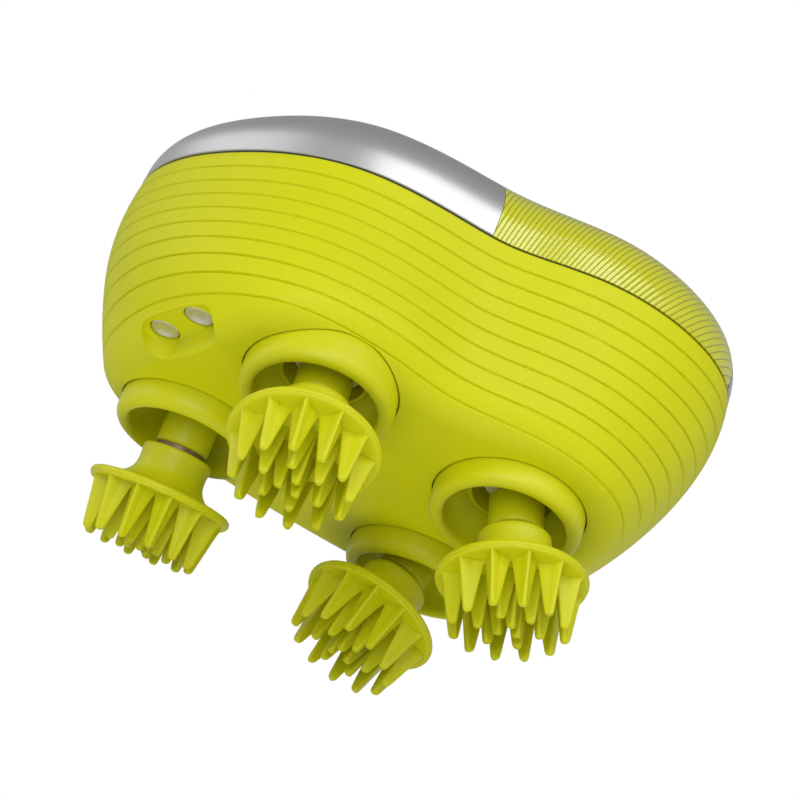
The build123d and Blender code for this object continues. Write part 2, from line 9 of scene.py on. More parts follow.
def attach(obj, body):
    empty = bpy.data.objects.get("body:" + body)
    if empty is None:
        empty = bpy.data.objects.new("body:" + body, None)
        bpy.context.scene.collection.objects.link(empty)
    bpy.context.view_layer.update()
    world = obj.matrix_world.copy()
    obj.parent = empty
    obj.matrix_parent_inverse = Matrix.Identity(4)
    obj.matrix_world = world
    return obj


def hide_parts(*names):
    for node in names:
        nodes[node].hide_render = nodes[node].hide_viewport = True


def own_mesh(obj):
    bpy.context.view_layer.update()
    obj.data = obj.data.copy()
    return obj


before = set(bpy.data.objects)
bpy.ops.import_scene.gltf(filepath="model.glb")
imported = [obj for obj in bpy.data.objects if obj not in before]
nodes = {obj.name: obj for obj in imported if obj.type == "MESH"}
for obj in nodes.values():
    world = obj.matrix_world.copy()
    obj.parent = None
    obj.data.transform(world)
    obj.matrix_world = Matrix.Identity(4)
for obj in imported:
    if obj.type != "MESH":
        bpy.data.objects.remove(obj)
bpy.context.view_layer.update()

# ---- Studio -----------------------------------------------------------------------------------------
# A white table under soft lamps. The camera looks up at the heads from below the level of the table,
# so the table's top is see-through from below and white from above.

MM = 0.001
camera_at = Vector((-246.7, -583.0, -271.9)) * MM
camera_right = Vector((0.78558, -0.52007, 0.33526))
camera_up = Vector((-0.51127, -0.24036, 0.82512))
camera_ahead = Vector((0.34853, 0.81961, 0.45472))

lens = bpy.data.cameras.new("studio_camera")
lens.sensor_fit = "HORIZONTAL"
lens.sensor_width = 36.0
lens.lens = 150.75
lens.clip_start = 0.01
camera = bpy.data.objects.new("studio_camera", lens)
bpy.context.scene.collection.objects.link(camera)
camera.matrix_world = Matrix((
    (camera_right.x, camera_up.x, -camera_ahead.x, camera_at.x),
    (camera_right.y, camera_up.y, -camera_ahead.y, camera_at.y),
    (camera_right.z, camera_up.z, -camera_ahead.z, camera_at.z),
    (0, 0, 0, 1),
))
bpy.context.scene.camera = camera
bpy.context.scene.view_settings.view_transform = "Standard"


class Socket:
    """A shader value that adds Math nodes when it is used in an expression."""

    def __init__(self, tree, link):
        self.tree = tree
        self.link = link

    def node(self, kind, settings=None, **inputs):
        """Adds one node; inputs are given by socket name, with _ for a blank, or as in_0, in_1."""
        made = self.tree.nodes.new(kind)
        for name, value in (settings or {}).items():
            setattr(made, name, value)
        for name, value in inputs.items():
            key = int(name[3:]) if name.startswith("in_") else name.replace("_", " ")
            if isinstance(value, Socket):
                self.tree.links.new(value.link, made.inputs[key])
            else:
                made.inputs[key].default_value = value
        return made

    def out(self, kind, settings=None, output=0, **inputs):
        return Socket(self.tree, self.node(kind, settings, **inputs).outputs[output])

    def maths(self, operation, *values):
        inputs = {f"in_{number}": value for number, value in enumerate(values)}
        return self.out("ShaderNodeMath", {"operation": operation}, **inputs)

    def __add__(self, other):
        return self.maths("ADD", self, other)

    def __sub__(self, other):
        return self.maths("SUBTRACT", self, other)

    def __rsub__(self, other):
        return self.maths("SUBTRACT", other, self)

    def __mul__(self, other):
        return self.maths("MULTIPLY", self, other)

    def clamp(self):
        return self.maths("MINIMUM", self.maths("MAXIMUM", self, 0.0), 1.0)

    def blend(self, first, second):
        """A colour between two colours, this value being the share of the second."""
        made = self.node("ShaderNodeMix", {"data_type": "RGBA"})
        self.tree.links.new(self.link, made.inputs[0])
        for socket, colour in ((made.inputs[6], first), (made.inputs[7], second)):
            if isinstance(colour, Socket):
                self.tree.links.new(colour.link, socket)
            else:
                socket.default_value = (*colour, 1.0)
        return Socket(self.tree, made.outputs[2])


def new_material(name):
    """An empty Principled material, its shader node and the object coordinates."""
    material = bpy.data.materials.new(name)
    material.use_nodes = True
    tree = material.node_tree
    shader = tree.nodes["Principled BSDF"]
    place = Socket(tree, tree.nodes.new("ShaderNodeTexCoord").outputs["Object"])
    return material, shader, place


def feed(shader, **values):
    """Sets or links the shader's sockets by name, with _ for a blank."""
    for name, value in values.items():
        socket = shader.inputs[name.replace("_", " ")]
        if isinstance(value, Socket):
            value.tree.links.new(value.link, socket)
        else:
            socket.default_value = value


table_material = bpy.data.materials.new("table_white")
table_material.use_nodes = True
table_tree = table_material.node_tree
table_shader = table_tree.nodes["Principled BSDF"]
feed(table_shader, Base_Color=(0.9, 0.9, 0.9, 1), Roughness=0.8, Specular_IOR_Level=0.1)
table_back = Socket(table_tree, table_tree.nodes.new("ShaderNodeNewGeometry").outputs["Backfacing"])
table_shadow = Socket(table_tree, table_tree.nodes.new("ShaderNodeLightPath").outputs["Is Shadow Ray"])
table_in = table_back.maths("MAXIMUM", table_back, table_shadow)
see_through = table_tree.nodes.new("ShaderNodeBsdfTransparent")
table_mix = table_tree.nodes.new("ShaderNodeMixShader")
table_tree.links.new(table_in.link, table_mix.inputs[0])
table_tree.links.new(table_shader.outputs[0], table_mix.inputs[1])
table_tree.links.new(see_through.outputs[0], table_mix.inputs[2])
table_tree.links.new(table_mix.outputs[0], table_tree.nodes["Material Output"].inputs["Surface"])

bpy.ops.object.select_all(action="DESELECT")
bpy.ops.mesh.primitive_plane_add(size=6, location=(0, 0, 0))
table = bpy.context.object
table.name = "table"
table.data.materials.append(table_material)

world = bpy.data.worlds.new("studio_world")
world.use_nodes = True
bpy.context.scene.world = world
world_tree = world.node_tree
ray = world_tree.nodes.new("ShaderNodeLightPath")
sky = world_tree.nodes["Background"]
seen = Socket(world_tree, ray.outputs["Is Camera Ray"])
sky.inputs["Color"].default_value = (1, 1, 1, 1)
heading = Socket(world_tree, world_tree.nodes.new("ShaderNodeTexCoord").outputs["Generated"])
height = heading.node("ShaderNodeSeparateXYZ", Vector=heading)
side_light = 0.58
overhead_loss = 0.3
overhead = (Socket(world_tree, height.outputs["Z"]) * 1.6 - 0.3).clamp()
dim = side_light - overhead * overhead_loss
world_tree.links.new((dim + seen * (1.0 - dim)).link, sky.inputs["Strength"])


def lamp(name, at, aim, width, height, power):
    """A rectangular soft lamp at a place in metres, turned towards its aim."""
    data = bpy.data.lights.new(name, "AREA")
    data.shape = "RECTANGLE"
    data.size = width
    data.size_y = height
    data.energy = power
    made = bpy.data.objects.new(name, data)
    bpy.context.scene.collection.objects.link(made)
    made.location = at
    made.rotation_mode = "QUATERNION"
    made.rotation_quaternion = (Vector(aim) - Vector(at)).to_track_quat("-Z", "Y")


middle = (0, 0, 0.05)
lamp("front_softbox", (-0.05, -1.0, 0.55), middle, 1.0, 0.6, 4.6)
lamp("left_lamp", (-0.95, 0.3, 0.5), middle, 0.8, 0.8, 1.8)
lamp("low_lamp", (-0.55, -0.8, -0.1), middle, 0.6, 0.6, 3.9)
lamp("under_lamp", (0.0, -0.3, -1.0), middle, 0.8, 0.8, 4.8)

# ---- Lower housing ----------------------------------------------------------------------------------
# One ABS moulding with a matte lime paint that feels soft. Its outline is a bean, nine fine grooves run
# level around it, and its underside is two shallow slopes. The heads sit in four round recesses.

columns = 288
wall = 2.2
rim_z, toe_z, ring_z, sole_z = 74.680, 37.280, 31.780, 29.680
rim_half, toe_half, sole_half = (64.7, 50.2), (58.0, 45.0), (52.0, 41.0)
belly_share = 0.57
belly_spread = 1.055
near_y, near_slope = -22.69, 10.5
far_y, far_slope = 20.997, 3.0
crease_radius = 80.0
lip_lean = 0.35
bottom_fillet = 8.0
groove_count = 9
groove_width = 0.32
groove_depth = 0.42

rim_shape = [(-0.994, 0.380), (-0.901, -0.167), (-0.607, -0.610), (-0.252, -0.729), (-0.082, -0.767),
             (0.057, -0.855), (0.227, -0.960), (0.444, -0.996), (0.784, -0.835), (0.977, -0.416),
             (1.000, 0.082), (0.830, 0.620), (0.366, 0.918), (-0.252, 0.998), (-0.793, 0.839)]
toe_shape = [(-1.016, 0.147), (-0.929, -0.453), (-0.662, -0.831), (-0.300, -0.909), (-0.076, -0.891),
             (0.045, -0.929), (0.200, -0.993), (0.390, -1.016), (0.717, -0.809), (0.898, -0.387),
             (0.960, 0.158), (0.805, 0.713), (0.357, 0.936), (-0.281, 0.980), (-0.830, 0.800)]
sole_shape = [(-0.990, 0.170), (-0.900, -0.476), (-0.692, -0.890), (-0.335, -0.983), (-0.085, -0.959),
              (0.050, -0.988), (0.215, -1.032), (0.413, -1.039), (0.721, -0.817), (0.894, -0.402),
              (0.952, 0.159), (0.798, 0.695), (0.365, 0.902), (-0.288, 0.945), (-0.875, 0.817)]


def outline_points(shape, half, inset):
    """The points of an outline that is given in shares of its half length and half depth."""
    return np.array(shape) * (half[0] - inset, half[1] - inset)


def closed_curve(points, count):
    """The smooth closed curve through some points, as count points."""
    step = np.linalg.norm(np.roll(points, -1, 0) - points, axis=1)
    size = len(points)
    system = np.zeros((size, size))
    right = np.zeros((size, 2))
    for i in range(size):
        after = (i + 1) % size
        system[i, i - 1] += step[i - 1]
        system[i, i] += 2 * (step[i - 1] + step[i])
        system[i, after] += step[i]
        right[i] = 6 * ((points[after] - points[i]) / step[i] - (points[i] - points[i - 1]) / step[i - 1])
    bend = np.linalg.solve(system, right)
    ends = np.concatenate([[0], np.cumsum(step)])
    place = np.arange(count) / count * ends[-1]
    i = np.clip(np.searchsorted(ends, place, side="right") - 1, 0, size - 1)
    after = (i + 1) % size
    a = ((ends[i + 1] - place) / step[i])[:, None]
    b = 1 - a
    span = (step[i] ** 2)[:, None] / 6
    return a * points[i] + b * points[after] + ((a ** 3 - a) * bend[i] + (b ** 3 - b) * bend[after]) * span


def outward(ring):
    """Level unit normals of a closed ring of points that runs anticlockwise."""
    along = np.roll(ring, -1, 0) - np.roll(ring, 1, 0)
    normal = np.stack([along[:, 1], -along[:, 0]], 1)
    return normal / np.linalg.norm(normal, axis=1)[:, None]


def body_wall(inset):
    """The housing's wall as a function of depth 0 to 1, from the rim down past the underside."""
    rim = outline_points(rim_shape, rim_half, inset)
    toe = outline_points(toe_shape, toe_half, inset)
    belly = (belly_share * rim + (1 - belly_share) * toe) * (belly_spread, 1)
    sole = outline_points(sole_shape, sole_half, inset)
    levels = ((rim, rim_z), (belly, (rim_z + toe_z) / 2), (toe, toe_z), (sole, sole_z - inset))
    sections = [np.c_[closed_curve(shape, columns), np.full(columns, z)] for shape, z in levels]
    steps = [np.linalg.norm(b - a, axis=1).mean() for a, b in zip(sections, sections[1:])]
    knots = np.concatenate([[0], np.cumsum(steps)]) / sum(steps)

    def wall_at(depth):
        depth = np.asarray(depth)
        total = 0
        for i, section in enumerate(sections):
            weight = 1.0
            for j in range(len(sections)):
                if j != i:
                    weight = weight * (depth - knots[j]) / (knots[i] - knots[j])
            total = total + weight * section if weight.ndim == 0 else total + weight[:, None] * section
        return total
    return wall_at


def underside(x, y):
    """Height of the underside: two slopes with a rounded crease between them."""
    near, far = radians(near_slope), radians(far_slope)
    near_rise, far_rise = tan(near), tan(far)
    crease_y = (near_rise * near_y + far_rise * far_y) / (near_rise + far_rise)
    crease_z = ring_z + near_rise * (near_y - crease_y)
    reach = crease_radius * tan((near + far) / 2)
    near_end = crease_y - reach * cos(near)
    far_end = crease_y + reach * cos(far)
    near_z = crease_z + near_rise * (crease_y - y)
    far_z = crease_z + far_rise * (y - crease_y)
    centre_y = near_end + crease_radius * sin(near)
    centre_z = crease_z + near_rise * (crease_y - near_end) + crease_radius * cos(near)
    arc_z = centre_z - np.sqrt(np.maximum(crease_radius ** 2 - (y - centre_y) ** 2, 0))
    return np.where(y < near_end, near_z, np.where(y > far_end, far_z, arc_z))


def tub_rings(inset, lift, radius, rim_levels):
    """Closed rings from the rim over the rounded bottom edge to the middle of the floor.

    The lift is the floor's height over the underside, and radius rounds the edge. Without rim levels
    the rings start at the outer lip; with them, the wall is carried up to those levels.
    """
    wall_at = body_wall(inset)
    depths = np.linspace(0, 1, 400)
    heights = np.stack([wall_at(d)[:, 2] for d in depths])
    floor = np.stack([underside(*wall_at(d)[:, :2].T) + lift for d in depths])
    corner_depth = np.array([np.interp(0, (floor - heights)[:, c], depths) for c in range(columns)])
    corner = wall_at(corner_depth)
    corner[:, 2] = underside(corner[:, 0], corner[:, 1]) + lift
    inward = -outward(corner[:, :2])
    probe = 0.02
    drop = (corner - wall_at(corner_depth - probe)) / probe
    speed = np.linalg.norm(drop, axis=1)
    bend = np.arccos(np.clip((drop[:, :2] * inward).sum(1) / speed, -1, 1))
    reach = radius * np.tan(bend / 2)
    start_depth = corner_depth - reach / speed
    start = wall_at(start_depth)
    end = corner.copy()
    end[:, :2] += inward * reach[:, None]
    end[:, 2] = underside(end[:, 0], end[:, 1]) + lift
    rings = [np.c_[wall_at(0)[:, :2], np.full(columns, z)] for z in rim_levels]
    if not rim_levels:
        lip = wall_at(0)
        lip[:, :2] -= outward(lip[:, :2]) * lip_lean
        rings.append(lip)
    for share in np.concatenate([[0 if rim_levels else 0.012], np.linspace(0.05, 1, 21)]):
        rings.append(wall_at(start_depth * share))
    pull = 2 * np.cos(bend / 2)[:, None]
    for t in np.linspace(0, 1, 13)[1:]:
        first, middle, last = (1 - t) ** 2, pull * t * (1 - t), t ** 2
        rings.append((first * start + middle * corner + last * end) / (first + middle + last))
    centre = end.mean(0)
    for share in (0.06, 0.16, 0.3, 0.46, 0.64, 0.82, 0.97):
        ring = end * (1 - share) + centre * share
        ring[:, 2] = underside(ring[:, 0], ring[:, 1]) + lift
        rings.append(ring)
    return rings


def skin(name, rings):
    """A closed mesh over rings of equal counts that run downwards, its faces pointing outwards."""
    count = len(rings[0])
    points = np.concatenate(rings) * MM
    faces = []
    for level in range(len(rings) - 1):
        upper, lower = level * count, (level + 1) * count
        for c in range(count):
            after = (c + 1) % count
            faces.append((upper + c, lower + c, lower + after, upper + after))
    faces.append(tuple(range(count)))
    last = (len(rings) - 1) * count
    faces.append(tuple(last + c for c in reversed(range(count))))
    mesh = bpy.data.meshes.new(name)
    mesh.from_pydata(points.tolist(), [], faces)
    made = bpy.data.objects.new(name, mesh)
    bpy.context.scene.collection.objects.link(made)
    return made


def clear_choice():
    """Leaves edit mode and deselects every object."""
    if bpy.context.object and bpy.context.object.mode != "OBJECT":
        bpy.ops.object.mode_set(mode="OBJECT")
    bpy.ops.object.select_all(action="DESELECT")


def pick(thing):
    """Makes one object the only selected and active one."""
    clear_choice()
    thing.select_set(True)
    bpy.context.view_layer.objects.active = thing


def edit(thing):
    """Opens one object in edit mode with everything selected."""
    pick(thing)
    bpy.ops.object.mode_set(mode="EDIT")
    bpy.ops.mesh.select_mode(type="VERT")
    bpy.ops.mesh.select_all(action="SELECT")


def cut(thing, tool, how="DIFFERENCE"):
    """Applies one boolean and removes its tool."""
    pick(thing)
    modifier = thing.modifiers.new("cut", "BOOLEAN")
    modifier.operation = how
    modifier.object = tool
    modifier.solver = "MANIFOLD"
    bpy.ops.object.modifier_apply(modifier=modifier.name)
    bpy.data.objects.remove(tool)


def joined(name, pieces):
    """Several objects as one."""
    pick(pieces[0])
    for piece in pieces:
        piece.select_set(True)
    if len(pieces) > 1:
        bpy.ops.object.join()
    made = bpy.context.object
    made.name = name
    return made


def rod(place, radius, bottom, top, tilt=0.0, sides=96):
    """An upright rod, or one that leans about X by tilt degrees, in millimetres."""
    height = top - bottom
    clear_choice()
    bpy.ops.mesh.primitive_cylinder_add(vertices=sides, radius=radius * MM, depth=height * MM)
    made = bpy.context.object
    made.data.transform(
        Matrix.Translation(Vector(place) * MM)
        @ Matrix.Rotation(radians(tilt), 4, "X")
        @ Matrix.Translation((0, 0, (bottom + top) / 2 * MM)))
    return made


def shade(thing, angle):
    """Smooth shading over edges that turn less than an angle in degrees."""
    pick(thing)
    bpy.ops.object.shade_smooth_by_angle(angle=radians(angle))


def dress(thing, material):
    """Gives one object a single material."""
    thing.data.materials.clear()
    thing.data.materials.append(material)
    for face in thing.data.polygons:
        face.material_index = 0


housing = skin("housing_shell", tub_rings(0, 0, bottom_fillet, []))
edit(housing)
level_step = (rim_z - toe_z) / groove_count
groove_levels = [rim_z - level_step * (k + 1) for k in range(groove_count)]
groove_shoulder = groove_width * 0.55
for level in groove_levels:
    for offset in (-groove_width, -groove_shoulder, 0, groove_shoulder, groove_width):
        bpy.ops.mesh.select_all(action="SELECT")
        bpy.ops.mesh.bisect(plane_co=(0, 0, (level + offset) * MM), plane_no=(0, 0, 1))
bpy.ops.object.mode_set(mode="OBJECT")
ease_from = -62 * MM  # the left end is drawn in a little from here on
ease = 0.95
normals = [vertex.normal.copy() for vertex in housing.data.vertices]
for vertex, normal in zip(housing.data.vertices, normals):
    off = min(abs(vertex.co.z / MM - level) for level in groove_levels)
    if off < groove_width * 0.9:
        vertex.co -= normal * groove_depth * (1 - off / groove_width) * MM
    if vertex.co.x < ease_from:
        vertex.co.x = ease_from + (vertex.co.x - ease_from) * ease

head_places = [(-31.9, far_y), (-25.8, near_y), (29.3, far_y), (23.2, near_y)]
pivot_z = 38.180
seat_radius = 16.5
seat_height = 2.4
bush_boss_radius, bush_hole_radius, pin_hole_radius = 11.5, 9.0, 8.6
gear_z = pivot_z + 5.3
gear_gap = 0.3
gear_room_radius = 16.5
plate_z = gear_z + 4.3
post_radius, cover_post_radius = 3.0, 3.4
post_places = [(-37.5, 0.0), (34.9, 0.0), (-1.3, 28.5), (-1.3, -22.5)]
motor_posts = [(50.0, 16.0), (50.0, -10.0)]
cover_screw_places = [(46.0, -27.0), (5.0, -34.5)]
sun_place = (-1.3, 3.0)
sun_boss_radius = 4.5


def head_slope(y):
    """The lean about X, in degrees, of the underside at a head."""
    return -near_slope if y < 0 else far_slope


contact_places = [(-51.58, -12.12), (-52.82, 0.52)]
contact_z = ring_z + 3.8
contact_hole_radius = 3.4
pocket_x, pocket_y = -53.1, -7.35
pocket_turn = radians(5.6)
pocket_reach = 7.35
pocket_radius = 4.4
pocket_wall_radius = 4.6 + wall
pocket_foot = 1.4
pocket_mouth = [
    (4.4, 0.5), (4.44, -0.2), (4.58, -0.6), (4.8, -0.95), (5.1, -1.25), (5.3, -1.4), (5.3, -6.0)]


def pocket_ring(radius, z):
    """A level ring of the charging recess: two half circles in a row that is turned a little."""
    points = []
    for angle in np.linspace(0, 2 * pi, 96, endpoint=False):
        x = radius * cos(angle)
        y = radius * sin(angle) + (pocket_reach if sin(angle) >= 0 else -pocket_reach)
        points.append((x * cos(pocket_turn) - y * sin(pocket_turn) + pocket_x,
                       x * sin(pocket_turn) + y * cos(pocket_turn) + pocket_y, z))
    return np.array(points)


pad_foot = sole_z - 4
pads = [rod((x, y, ring_z), seat_radius + wall, -12, seat_height + wall, head_slope(y))
        for x, y in head_places]
pads.append(rod((*sun_place, 0), sun_boss_radius, pad_foot, gear_z - gear_gap, sides=48))
pads.append(skin("pocket_wall", [
    pocket_ring(pocket_wall_radius, z) for z in (contact_z + wall, pad_foot)]))
bosses = [rod((x, y, 0), bush_boss_radius, pad_foot, pivot_z + 5) for x, y in head_places]
bosses += [rod((x, y, 0), post_radius, pad_foot, plate_z, sides=32) for x, y in post_places + motor_posts]
bosses += [rod((x, y, 0), cover_post_radius, pad_foot, rim_z, sides=32) for x, y in cover_screw_places]
hollow = skin("housing_hollow", tub_rings(wall, wall, bottom_fillet - wall / 2, [rim_z + 3]))
cut(hollow, joined("housing_pads", pads))
cut(hollow, joined("housing_bosses", bosses))
cut(housing, hollow)
seats = [rod((x, y, ring_z), seat_radius, -12, seat_height, head_slope(y), sides=160)
         for x, y in head_places]
foot = [radians(step) for step in range(0, 90, 15)]
pocket = [(pocket_radius - pocket_foot * (1 - sin(a)), contact_z - pocket_foot * (1 - cos(a)))
          for a in foot]
pocket += [(radius, ring_z + height) for radius, height in pocket_mouth]
seats.append(skin("pocket", [pocket_ring(radius, z) for radius, z in pocket]))
cut(housing, joined("housing_seats", seats))
for name, radius, low, high in (
        ("pin_holes", pin_hole_radius, sole_z - 6, pivot_z + 2),
        ("bush_holes", bush_hole_radius, pivot_z - 1.5, pivot_z + 12),
        ("gear_room", gear_room_radius, gear_z - gear_gap, plate_z)):
    cut(housing, joined(name, [rod((x, y, 0), radius, low, high) for x, y in head_places]))
cut(housing, joined("contact_holes", [
    rod((x, y, 0), contact_hole_radius, sole_z, contact_z + wall + 1, sides=64)
    for x, y in contact_places]))
shade(housing, 35)
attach(housing, "case")
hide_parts("lower_housing")

lime, lime_shader, lime_place = new_material("lime_soft_paint")
lime_grain = lime_place.out("ShaderNodeTexNoise", Vector=lime_place, Scale=2600.0, Detail=3.0)
lime_cloud = lime_place.out("ShaderNodeTexNoise", Vector=lime_place, Scale=45.0, Detail=2.0)
lime_colour = lime_cloud.blend((0.545, 0.560, 0.002), (0.575, 0.585, 0.004))
lime_bump = lime_place.out("ShaderNodeBump", Strength=0.12, Distance=0.00008, Height=lime_grain)
feed(lime_shader, Base_Color=lime_colour, Roughness=lime_cloud * 0.08 + 0.44, Normal=lime_bump,
     Specular_IOR_Level=0.2)
dress(housing, lime)

# ---- Silver cover -----------------------------------------------------------------------------------
# An ABS shell with satin silver metallic paint, held by two screws under the ribbed panel and by hooks.
# Its edge is a wide round, and its top is a flat dome.

cover_z = rim_z + 0.4
cover_wall = 2.4
crown_z = ring_z + 61.5
crown_radius = 420.0
edge_round = 13.0
edge_draft = 0.12
lip_chamfer = 0.2
panel_place = (22.0, -37.5)
panel_radius, panel_gap = 31.2, 0.15
panel_depth = 1.5
button_place = (-20.0, 6.0)
button_hole_radius = 8.3
lamp_place = (-7.0, 6.0)
lamp_hole_radius = 1.2
board_z = crown_z - 12.6
board_posts = [(-14 + i * 20, 6 + j * 14) for i in (-1, 1) for j in (-1, 1)]


def crown(x, y, inset):
    """Height of the dome that lies inset below the top of the cover."""
    return crown_z - crown_radius + np.sqrt((crown_radius - inset) ** 2 - x ** 2 - y ** 2)


def dome_rings(inset, bottom, count, steps):
    """Closed rings from the middle of the dome down over its round edge to the bottom."""
    rim = closed_curve(outline_points(rim_shape, rim_half, inset), count)
    level_normal = outward(rim)
    radius = edge_round - inset
    centre = rim - level_normal * (radius + edge_draft)
    centre_z = crown(centre[:, 0], centre[:, 1], inset + radius)
    lean = np.arcsin((centre * level_normal).sum(1) / (crown_radius - inset - radius))
    rings = []
    for turn in np.linspace(0, 1, steps):
        angle = turn * (pi / 2 - lean)
        spot = centre + level_normal * (radius * np.cos(angle))[:, None]
        rings.append(np.c_[spot, centre_z + radius * np.sin(angle)])
    rings[-1][:, 2] = crown(rings[-1][:, 0], rings[-1][:, 1], inset)
    top = rings[-1].copy()
    hub = top.mean(0)
    for share in (0.05, 0.13, 0.24, 0.38, 0.54, 0.7, 0.86, 0.97):
        ring = top * (1 - share) + hub * share
        ring[:, 2] = crown(ring[:, 0], ring[:, 1], inset)
        rings.append(ring)
    rings.reverse()
    half_way = np.c_[rim - level_normal * (edge_draft / 2), (centre_z + bottom) / 2]
    lip = np.c_[rim, np.full(count, bottom + lip_chamfer)]
    foot = np.c_[rim - level_normal * lip_chamfer, np.full(count, bottom)]
    return rings + [half_way, lip, foot]


cover = skin("cover_shell", dome_rings(0, cover_z, 432, 17))
cover_hollow = skin("cover_hollow", dome_rings(cover_wall, cover_z - 3, 288, 9))
posts = [rod((x, y, 0), cover_post_radius, cover_z - 1, crown_z + 2, sides=32)
         for x, y in cover_screw_places]
posts += [rod((x, y, 0), post_radius, board_z, crown_z + 2, sides=32) for x, y in board_posts]
cut(cover_hollow, joined("cover_posts", posts))
cut(cover, cover_hollow)
panel_bed = rod((*panel_place, 0), panel_radius + panel_gap, cover_z - 2, crown_z + 8, sides=320)
cut(panel_bed, skin("panel_bed_core", dome_rings(panel_depth, cover_z - 4, 288, 9)))
cut(cover, panel_bed)
holes = [rod((*button_place, 0), button_hole_radius, cover_z, crown_z + 4, sides=128)]
holes.append(rod((*lamp_place, 0), lamp_hole_radius, cover_z, crown_z + 4, sides=32))
cut(cover, joined("cover_holes", holes))
shade(cover, 30)
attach(cover, "case")
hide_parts("top_cover")

silver, silver_shader, silver_place = new_material("silver_satin_paint")
flakes = silver_place.out("ShaderNodeTexNoise", Vector=silver_place, Scale=3200.0, Detail=2.0)
clouds = silver_place.out("ShaderNodeTexNoise", Vector=silver_place, Scale=60.0, Detail=2.0)
silver_bump = silver_place.out("ShaderNodeBump", Strength=0.1, Distance=0.00005, Height=flakes)
feed(silver_shader, Base_Color=flakes.blend((0.50, 0.50, 0.50), (0.62, 0.62, 0.62)), Metallic=0.85,
     Roughness=clouds * 0.06 + 0.34, Normal=silver_bump)
dress(cover, silver)

# ---- Ribbed panel -----------------------------------------------------------------------------------
# A glossy lime insert that continues the cover's surface. Its ribs lean and spread upwards, in planes
# through one line below, with thin grooves between them that are darkened with painted shade. It is glued
# into its bed in the cover.

fan_place = np.array([-18.4, -21.9, -19.6])
fan_axis = np.array([-0.4399, -0.8977, 0.0240])
fan_up = np.array([0.0545, 0, 0.9985])
fan_right = np.cross(fan_up, fan_axis)
fan_start = radians(25.0)
fan_step = radians(0.57)
ray_z, ray_y = 76, -30
rib_depth = 0.16
groove_reach = 0.14
panel_thickness = 1.42
# Place across one rib, and the share of the rib's depth there.
rib_profile = ((0, 1.0), (0.07, 0.55), (0.16, 0.1), (0.5, 0.0), (0.84, 0.1), (0.93, 0.55))

blank = skin("panel_blank", dome_rings(0, cover_z - 6, 1152, 61))
dome_tree = BVHTree.FromPolygons(
    [vertex.co / MM for vertex in blank.data.vertices],
    [tuple(face.vertices) for face in blank.data.polygons])
bpy.data.objects.remove(blank)
stations = [rib + share for rib in range(-38, 17) for share, _ in rib_profile]
turns = [radians(-8 + 1.25 * step) for step in range(130)]
sheet = np.zeros((len(stations), len(turns), 3))
for i, station in enumerate(stations):
    lean = fan_start + station * fan_step
    rise = fan_up * cos(lean) + fan_right * sin(lean)
    start = fan_place + rise * (ray_z - fan_place[2]) / rise[2]
    start = start + fan_axis * (ray_y - start[1]) / fan_axis[1]
    for j, turn in enumerate(turns):
        sight = rise * sin(turn) + fan_axis * cos(turn)
        sheet[i, j] = dome_tree.ray_cast(Vector(start), Vector(sight))[0]
sheet_normal = np.cross(np.gradient(sheet, axis=0), np.gradient(sheet, axis=1))
sheet_normal /= np.linalg.norm(sheet_normal, axis=2)[:, :, None]
if sheet_normal[len(stations) // 2, len(turns) // 2, 2] < 0:
    sheet_normal *= -1
sink = np.array([rib_depth * share for _, share in rib_profile] * (len(stations) // len(rib_profile)))
outer = (sheet - sheet_normal * sink[:, None, None]).reshape(-1, 3)
inner = (sheet - sheet_normal * panel_thickness).reshape(-1, 3)
rows, steps = len(stations), len(turns)
faces = []
for i in range(rows - 1):
    for j in range(steps - 1):
        a = i * steps + j
        faces.append((a, a + 1, a + steps + 1, a + steps))
edge = list(range(steps))
edge += [i * steps + steps - 1 for i in range(1, rows)]
edge += [(rows - 1) * steps + j for j in range(steps - 2, -1, -1)]
edge += [i * steps for i in range(rows - 2, 0, -1)]
below = rows * steps
faces += [tuple(v + below for v in reversed(face)) for face in faces]
faces += [(b, a, a + below, b + below) for a, b in zip(edge, edge[1:] + edge[:1])]
panel_mesh = bpy.data.meshes.new("ribbed_insert")
panel_mesh.from_pydata((np.concatenate([outer, inner]) * MM).tolist(), [], faces)
panel = bpy.data.objects.new("ribbed_insert", panel_mesh)
bpy.context.scene.collection.objects.link(panel)
edit(panel)
bpy.ops.mesh.normals_make_consistent(inside=False)
cut(panel, rod((*panel_place, 0), panel_radius, cover_z, crown_z + 4, sides=320), "INTERSECT")
shade(panel, 35)
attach(panel, "case")
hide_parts("ribbed_panel")

gloss, gloss_shader, gloss_place = new_material("lime_gloss_ribs")
offset = gloss_place.out("ShaderNodeVectorMath", {"operation": "SUBTRACT"},
                         in_0=gloss_place, in_1=tuple(fan_place * MM))
rise, sweep = [offset.out("ShaderNodeVectorMath", {"operation": "DOT_PRODUCT"}, output=1,
                          in_0=offset, in_1=tuple(side)) for side in (fan_up, fan_right)]
rib_place = (offset.maths("ARCTAN2", sweep, rise) - fan_start) * (1 / fan_step)
from_groove = rib_place.maths("PINGPONG", rib_place, 0.5)
# Painted shade: the colour turns dark olive along the grooves between the ribs, over their real relief.
painted_groove_shade = 1.0 - (from_groove * (1 / groove_reach)).clamp()
gloss_cloud = gloss_place.out("ShaderNodeTexNoise", Vector=gloss_place, Scale=90.0, Detail=2.0)
gloss_colour = gloss_cloud.blend((0.53, 0.54, 0.002), (0.56, 0.565, 0.004))
# The dark colour blended in along the grooves is painted shade.
feed(gloss_shader, Base_Color=painted_groove_shade.blend(gloss_colour, (0.17, 0.185, 0.001)),
     Roughness=gloss_cloud * 0.06 + 0.2, Coat_Weight=1.0, Coat_Roughness=0.05, Coat_IOR=1.55)
dress(panel, gloss)

# ---- Collars ----------------------------------------------------------------------------------------
# Four ABS rings with a thick rounded lip, pressed into the seats of the underside.
# Inside, a smooth funnel leads up to the hole for the crank pin.

